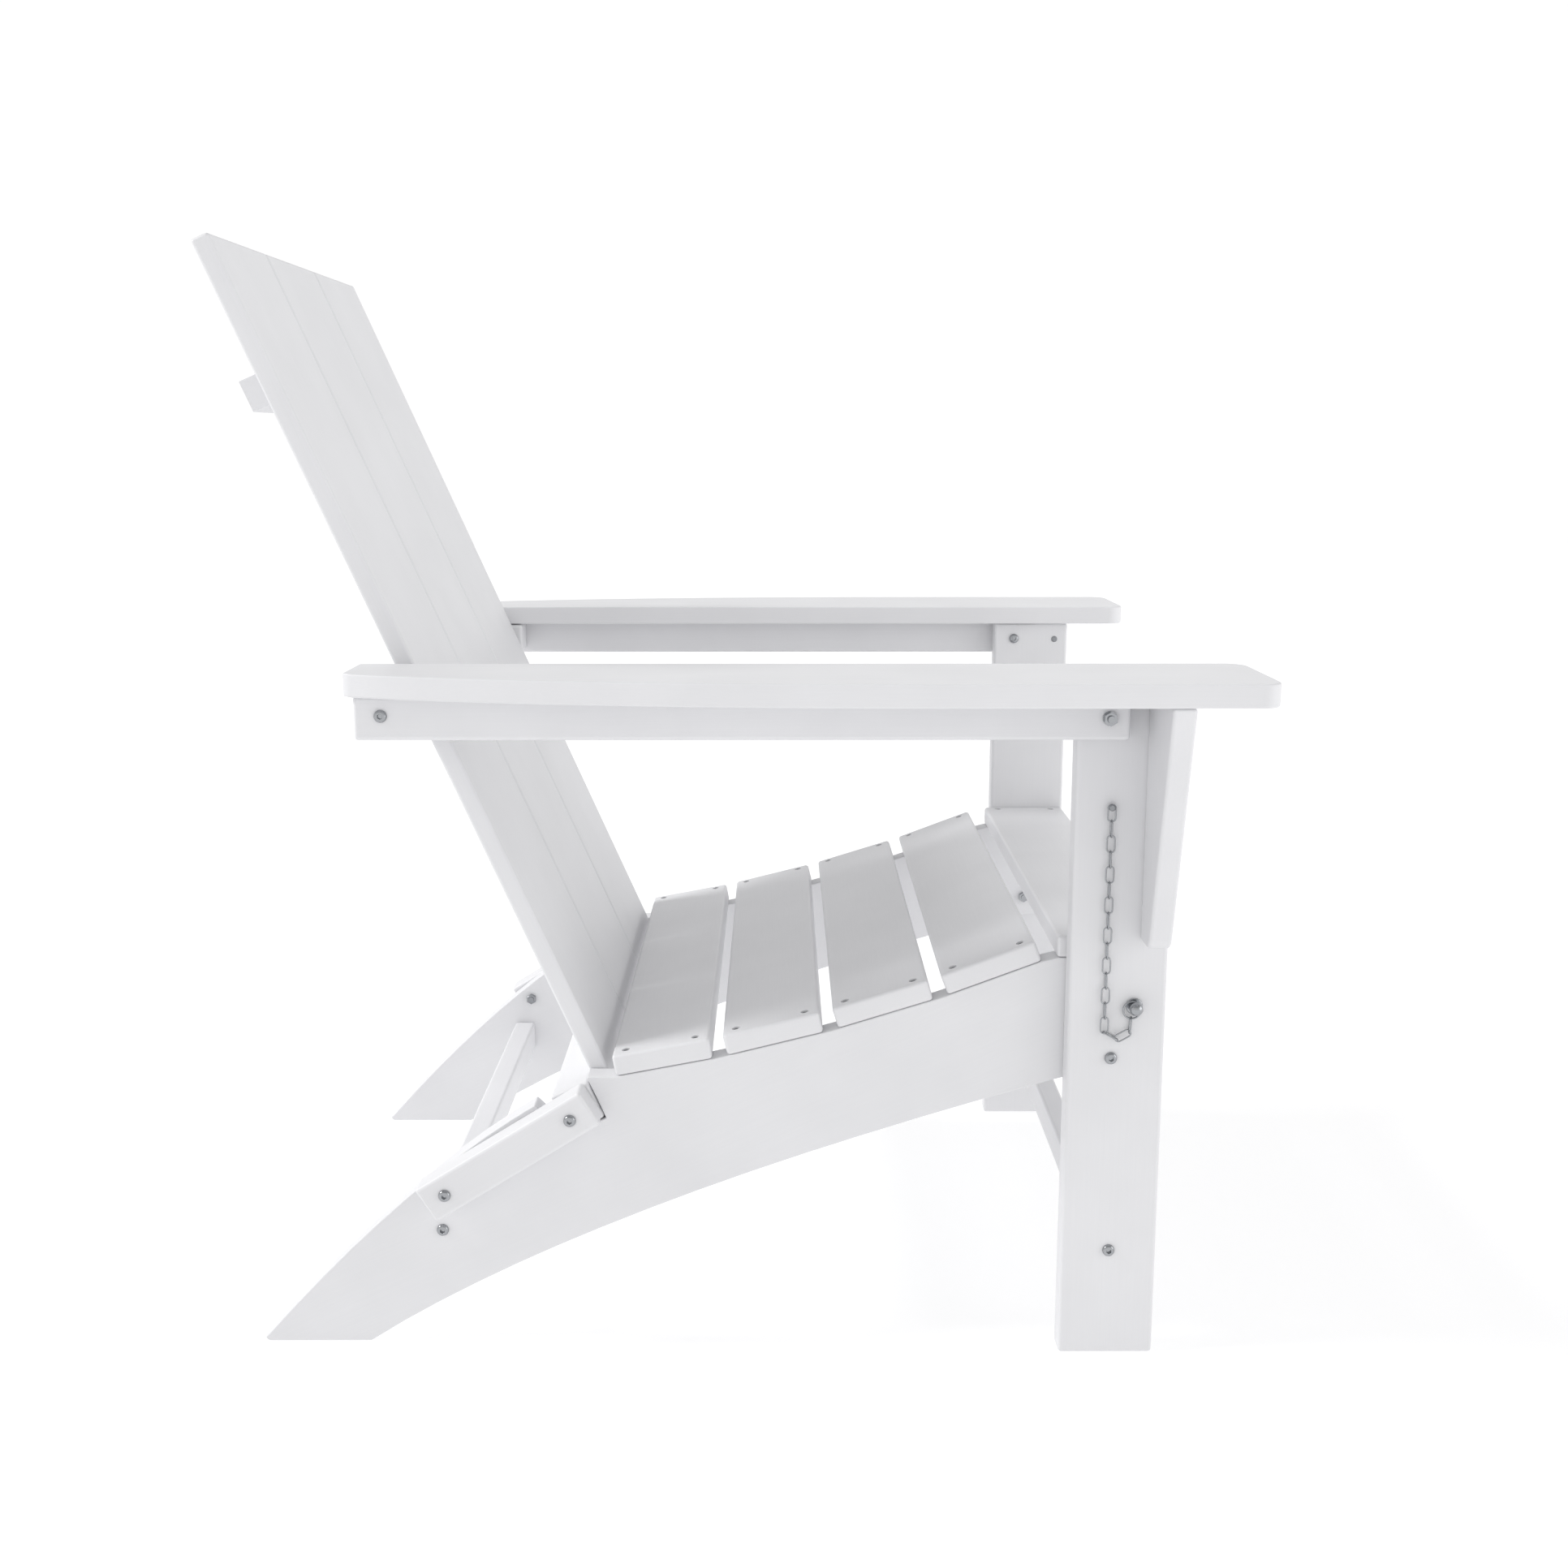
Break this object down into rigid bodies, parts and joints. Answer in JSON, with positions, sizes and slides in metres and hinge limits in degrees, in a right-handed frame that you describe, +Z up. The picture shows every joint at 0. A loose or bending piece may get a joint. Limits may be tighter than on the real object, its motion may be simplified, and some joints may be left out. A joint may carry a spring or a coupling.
{
  "type": "adirondack chair",
  "caption": "folding adirondack chair of flat poly lumber boards, with a leaning slatted back, a sloping slatted seat, broad flat arms, bolted pivots and lock pins on chains",
  "frame": {"origin": "on the floor under the middle of the chair's box", "axes": "+Z up, the front faces -Y, X across the seat with the sitter's left at +X"},
  "size_m": [0.773, 0.8553, 0.9463],
  "materials": {
    "poly_lumber": "white extruded polyethylene lumber, satin, with eased edges",
    "stainless_steel": "bright stainless steel button heads, screws, pins and chain"
  },
  "bodies": {
    "seat": {"seat_rail_right": "poly_lumber", "seat_rail_left": "poly_lumber", "seat_slat_1": "poly_lumber", "seat_slat_2": "poly_lumber", "seat_slat_3": "poly_lumber", "seat_slat_4": "poly_lumber", "seat_slat_5": "poly_lumber", "rear_stretcher": "poly_lumber", "seat_slat_screws": "stainless_steel", "rear_stretcher_bolts": "stainless_steel", "link_pivot_bolts": "stainless_steel", "link_pivot_nuts": "stainless_steel", "leg_pivot_bolts": "stainless_steel", "leg_pivot_nuts": "stainless_steel"},
    "legs": {"front_leg_right": "poly_lumber", "front_leg_left": "poly_lumber", "front_stretcher": "poly_lumber", "front_stretcher_bolts": "stainless_steel", "arm_bracket_right": "poly_lumber", "arm_bracket_left": "poly_lumber", "bracket_screws": "stainless_steel", "arm_pivot_bolts": "stainless_steel", "arm_pivot_washers": "stainless_steel", "arm_pivot_nuts": "stainless_steel", "chain_screws": "stainless_steel", "chain_right": "stainless_steel", "chain_left": "stainless_steel"},
    "arms": {"arm_right": "poly_lumber", "arm_left": "poly_lumber", "arm_rail_right": "poly_lumber", "arm_rail_left": "poly_lumber", "arm_spacer_right": "poly_lumber", "arm_spacer_left": "poly_lumber", "arm_rail_screws": "stainless_steel", "spacer_bolts": "stainless_steel", "arm_back_bolts": "stainless_steel"},
    "links": {"back_link_right": "poly_lumber", "back_link_left": "poly_lumber"},
    "back": {"back_slat_right": "poly_lumber", "back_slat_centre": "poly_lumber", "back_slat_left": "poly_lumber", "upper_batten": "poly_lumber", "middle_batten": "poly_lumber", "lower_batten": "poly_lumber", "back_slat_screws": "stainless_steel", "back_pivot_bolts": "stainless_steel"},
    "pin_right": {"lock_pin_right": "stainless_steel", "pin_ring_right": "stainless_steel"},
    "pin_left": {"lock_pin_left": "stainless_steel", "pin_ring_left": "stainless_steel"}
  },
  "joints": [
    {"name": "leg_fold", "type": "hinge", "parent": "seat", "child": "legs", "pos_m": [0, -0.32075, 0.2702], "axis": [1, 0, 0], "range_deg": [0, 60]},
    {"name": "arm_fold", "type": "hinge", "parent": "legs", "child": "arms", "pos_m": [0, -0.30574, 0.564], "axis": [1, 0, 0], "range_deg": [-45, 0]},
    {"name": "link_fold", "type": "hinge", "parent": "seat", "child": "links", "pos_m": [0, 0.2455, 0.149], "axis": [1, 0, 0], "range_deg": [-26, 0]},
    {"name": "back_fold", "type": "hinge", "parent": "links", "child": "back", "pos_m": [0, 0.137, 0.21653], "axis": [1, 0, 0], "range_deg": [0, 78]},
    {"name": "pin_right_pull", "type": "slide", "parent": "legs", "child": "pin_right", "axis": [-1, 0, 0], "range_m": [0, 0.045]},
    {"name": "pin_left_pull", "type": "slide", "parent": "legs", "child": "pin_left", "axis": [1, 0, 0], "range_m": [0, 0.045]}
  ],
  "couplings": [
    {"joint": "arm_fold", "follows": "leg_fold", "ratio": -0.7429},
    {"joint": "link_fold", "follows": "leg_fold", "ratio": -0.4292},
    {"joint": "back_fold", "follows": "leg_fold", "ratio": 1.2928}
  ]
}
